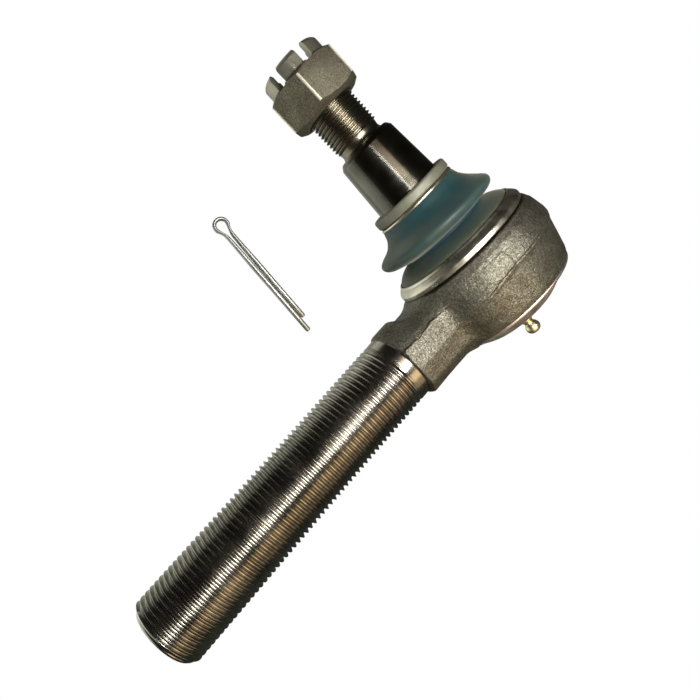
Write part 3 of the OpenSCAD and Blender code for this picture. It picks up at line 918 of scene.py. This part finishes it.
def build_rings():
    low, high, r = ring_low.z, ring_high.z, ring_high.x
    retainer = lathe("boot_retainer_band", [
        (27.45, low + 0.6, 0.2), (27.9, low + 0.05, 0.2), (r - 0.3, low + 0.05, 0.25), (r, low + 0.4, 0.35),
        (r - 0.02, low + 2.1, 0.9), (r - 0.75, low + 3.0, 0.9), (28.2, low + 3.8, 0.8), (27.75, 17.3, 0.6),
        (27.35, high - 0.2, 0.4), (26.9, high, 0.3), (26.65, high - 0.3, 0.2), (27.5, 15.7, 0.6)],
        closed=True)
    place(retainer, "housing", "ring_steel", ["boot_retainer_ring"])

    low, high, r = neck_ring_low.z, neck_ring_high.z, neck_ring_high.x
    neck = lathe("boot_neck_band", [
        (taper_at(low) + 0.06, low + 0.4, 0.3), (15.2, low, 0.3), (r - 0.6, low, 0.3), (r, low + 0.5, 0.5),
        (r, high - 0.7, 0.5), (r - 0.55, high, 0.4), (taper_at(high) + 0.5, high, 0.3),
        (taper_at(high) + 0.08, high - 0.4, 0.2)], closed=True)
    place(neck, "boot_neck", "neck_ring_plastic", ["boot_neck_ring"])

    middle = (clamp_low.z + clamp_high.z) / 2
    wire = (clamp_high.z - clamp_low.z) / 2
    sections = 200
    turn = 2 * math.pi * 0.985       # a split ring: its ends nearly meet
    clamp = sharpen(sweep("boot_neck_wire", [
        wire_section(clamp_high.x - wire, wire, 2.6 + turn * i / (sections - 1), middle, 12)
        for i in range(sections)]), 60)
    place(clamp, "boot_neck", "ring_steel", ["boot_neck_clamp"])


def build_nipple():
    top, tip = nipple_high.z, nipple_low.z
    body = lathe("grease_nipple_turned", [
        (NIPPLE_BORE_R, top, 0.1), (2.4, top, 0.2), (3.0, top - 0.6, 0.2), (3.0, -20.2, 0.3), (2.9, -22.4, 0.3),
        (2.9, -26.6, 0.4), (2.3, -27.3, 0.3), (1.9, -27.9, 0.4), (1.95, -28.5, 0.4), (2.75, -29.5, 0.6),
        (3.1, -30.7, 0.8), (2.95, -31.8, 0.7), (2.3, tip + 0.3, 0.4), (1.7, tip, 0.3), (0.75, tip, 0.15),
        (0.7, -31.62, 0), (NIPPLE_BORE_R, -30.9, 0)], segments=64, closed=True)
    sides = bar(6, NIPPLE_FLATS / 2 / math.cos(math.pi / 6), -22.4, -20.0)
    envelope = lathe("cutter", [
        (0, -22.5, 0), (3.5, -22.4, 0), (4.3, -21.8, 0), (4.3, -19.9, 0), (0, -19.9, 0)], segments=64)
    carve(sides, envelope, "INTERSECT")
    carve(sides, bar(48, 2.1, -23, -19.5))
    carve(body, sides, "UNION")
    bevel(body, 0.08, 2, 35)
    sharpen(body, 40)
    place(body, "housing", "nipple_brass", ["grease_nipple"])

    wire, coil, steps = 0.18, NIPPLE_BORE_R - 0.3, 8 * 20        # 8 turns of 20 sections
    low = CHECK_BALL_Z + math.sqrt((CHECK_BALL_R + wire + 0.03) ** 2 - coil ** 2)
    high = SPRING_SEAT_Z - wire - 0.05
    spring = sharpen(sweep("nipple_spring_coil", [
        wire_section(coil, wire, 2 * math.pi * i / 20, low + (high - low) * i / steps, 8)
        for i in range(steps + 1)]), 60)
    place(spring, None, "spring_steel", ["nipple_spring"])
    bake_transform(spring)


def build_cover():
    low, dish = cover_low.z, cover_high.z
    cover = lathe("end_cover_pressed", [
        (3.02, low + 0.02, 0), (9.0, low + 0.02, 1), (12.2, low + 0.1, 1.5), (16.3, -18.0, 1.0),
        (16.9, -17.82, 0.2), (20.3, -17.82, 0.3), (20.3, dish - 0.1, 0.3), (16, dish - 0.1, 1.2),
        (11.8, low + 2, 1.5), (3.02, low + 2, 0)], closed=True)
    place(cover, "housing", "pressed_steel", ["end_cover"])


def pin_line():
    """Centre line of the folded wire's flat side, as (x, z, outward angle) from one tip to the other."""
    top = PIN_LEG + PIN_EYE_R + 2.6
    opening = math.radians(215)
    leg = [(-0.03, 0.15, math.pi), (-0.03, 0.6, math.pi), (-0.03, 20, math.pi), (-0.08, 30, math.pi),
           (-0.2, PIN_LEG - 5, math.pi), (-0.3, PIN_LEG - 1.2, math.radians(176)),
           (-0.45, PIN_LEG + 0.2, math.radians(160)), (-0.85, PIN_LEG + 1.3, math.radians(150))]
    eye = []
    for i in range(29):
        a = math.pi / 2 + opening / 2 - opening * i / 28
        eye.append((PIN_EYE_R * math.cos(a), top + PIN_EYE_R * math.sin(a), a))
    shorter_leg = [(-x, z + PIN_SHORT if z < 1 else z, math.pi - a) for x, z, a in reversed(leg)]
    return leg + eye + shorter_leg


def build_pin():
    rings = []
    line = pin_line()
    for i, (x, z, a) in enumerate(line):
        leg = float(smoothstep(PIN_LEG + 1, PIN_LEG - 14, z))
        half = (PIN_WIRE + (PIN_D / 2 - PIN_WIRE) * leg) / 2
        scale = 0.72 if i in (0, len(line) - 1) else 1.0         # rounded tips
        ring = []
        for b in (2 * math.pi * k / 18 for k in range(18)):
            out = half * (1 + scale * math.cos(b))
            across = -PIN_HALF_WIDTH * scale * math.sin(b)
            ring.append((x + out * math.cos(a), across, z + out * math.sin(a)))
        rings.append(ring)
    pin = sweep("cotter_pin_wire", rings)
    pin.data.transform(Matrix.Translation(PIN_TIP * MM) @ Matrix.Rotation(PIN_LEAN, 4, "Y"))
    sharpen(pin, 45)
    place(pin, "cotter_pin", "pin_zinc", ["cotter_pin"])


build_housing()
build_stud()
build_nut()
build_boot()
build_rings()
build_nipple()
build_cover()
build_pin()

slots = {row["node"]: row["material_slot"] for row in frame["record"]["subparts"]}
for name, node in frame["nodes"].items():
    node.data.materials.clear()
    node.data.materials.append(finishes[slots[name]])


# ---------------------------------------------------------------- stage: floor, light, camera
FLOOR_Z = -0.35                  # metres, as all of the stage
FLOOR_HALF = 3.0
WHITE = (1, 1, 1)
CAMERA_PLACE = (-0.10254, -0.20191, 0.05481)
CAMERA_RIGHT = Vector((0.6580, -0.2661, -0.7044))
CAMERA_UP = Vector((0.7249, -0.0291, 0.6882))
CAMERA_FORWARD = Vector((0.2037, 0.9635, -0.1738))
CAMERA_LENS = 29.24              # mm, on a sensor 36 mm wide

# name, place, aim, size, watts, colour
LIGHTS = [
    ("key", (-0.018, -0.235, 0.010), (-0.03, 0, 0.03), (0.14, 0.056), 0.98, (1.0, 1.0, 0.98)),
    ("warm_card", (-0.065, -0.173, -0.128), (-0.08, 0, 0), (0.21, 0.09), 0.195, (1.0, 0.74, 0.45)),
    ("taper_card", (0.006, -0.235, 0.078), (0, 0, 0.05), (0.11, 0.06), 0.052, (1.0, 0.83, 0.66)),
    ("taper_strip", (-0.052, -0.235, 0.078), (0, 0, 0.05), (0.006, 0.06), 0.036, WHITE),
    ("warm_low", (-0.06, -0.14, -0.265), (-0.06, 0, 0), (0.28, 0.16), 0.13, (1.0, 0.76, 0.48)),
    ("overhead", (0.0, 0.25, 0.42), (0, 0, 0.02), (0.30, 0.3), 0.22, (0.97, 1.0, 0.92)),
    ("left_back", (-0.42, 0.22, 0.18), (0, 0, 0.06), (0.5, 0.45), 0.5, (0.98, 1.0, 0.93)),
]


def build_floor():
    """Pale floor, dim in reflections. From below it lets the view through, to show the underside."""
    mesh = bpy.data.meshes.new("floor")
    corners = ((-1, -1), (1, -1), (1, 1), (-1, 1))
    mesh.from_pydata([(x * FLOOR_HALF, y * FLOOR_HALF, FLOOR_Z) for x, y in corners], [], [(0, 1, 2, 3)])
    n = surface("floor_pale", Roughness=0.9, Metallic=0.0, Base_Color=(0.8, 0.8, 0.79, 1))
    above = n.mix_shaders(n.looked_at(), n.glow("ShaderNodeEmission", (0.055, 0.064, 0.054)),
                          n.glow("ShaderNodeEmission", WHITE))
    clear = n.add("ShaderNodeBsdfTransparent").outputs[0]
    side = n.add("ShaderNodeNewGeometry").outputs["Backfacing"]
    n.link(n.mix_shaders(side, above, clear), n.tree.nodes["Material Output"].inputs["Surface"])
    mesh.materials.append(n.owner)
    add_object("floor", mesh)


def build_world():
    """White to the eye; in reflections a room that is light behind and above, and dark in front."""
    world = bpy.data.worlds.new("room")
    bpy.context.scene.world = world
    n = Nodes(world, "Generated")
    towards = n.add("ShaderNodeVectorMath", operation="DOT_PRODUCT")
    towards.inputs[1].default_value = (-0.35, 0.75, 0.2)
    n.link(n.place, towards.inputs[0])
    room = n.add("ShaderNodeBackground")
    shades = n.colours(
        towards.outputs["Value"], (0.0, (0.03, 0.028, 0.024)), (0.15, (0.035, 0.033, 0.027)),
        (0.42, (0.10, 0.10, 0.085)), (0.6, (0.32, 0.335, 0.285)), (0.84, (0.70, 0.72, 0.62)))
    n.link(shades, room.inputs["Color"])
    shown = n.mix_shaders(n.looked_at(), room.outputs[0], n.glow("ShaderNodeBackground", WHITE))
    n.link(shown, n.tree.nodes["World Output"].inputs["Surface"])


def area_light(name, location, target, size, power, colour):
    data = bpy.data.lights.new(name, "AREA")
    data.shape = "RECTANGLE"
    data.size, data.size_y = size
    data.energy = power
    data.color = colour
    light = add_object(name, data)
    light.location = location
    light.rotation_euler = (Vector(target) - Vector(location)).to_track_quat("-Z", "Y").to_euler()
    light.visible_camera = False


def build_camera():
    data = bpy.data.cameras.new("camera")
    data.sensor_width = 36
    data.lens = CAMERA_LENS
    data.clip_start = 0.01
    camera = add_object("camera", data)
    turn = Matrix((CAMERA_RIGHT, CAMERA_UP, -CAMERA_FORWARD)).transposed().to_4x4()
    camera.matrix_world = Matrix.Translation(CAMERA_PLACE) @ turn
    bpy.context.scene.camera = camera


build_floor()
build_world()
build_camera()
for light in LIGHTS:
    area_light(*light)
bpy.context.scene.view_settings.view_transform = "Standard"
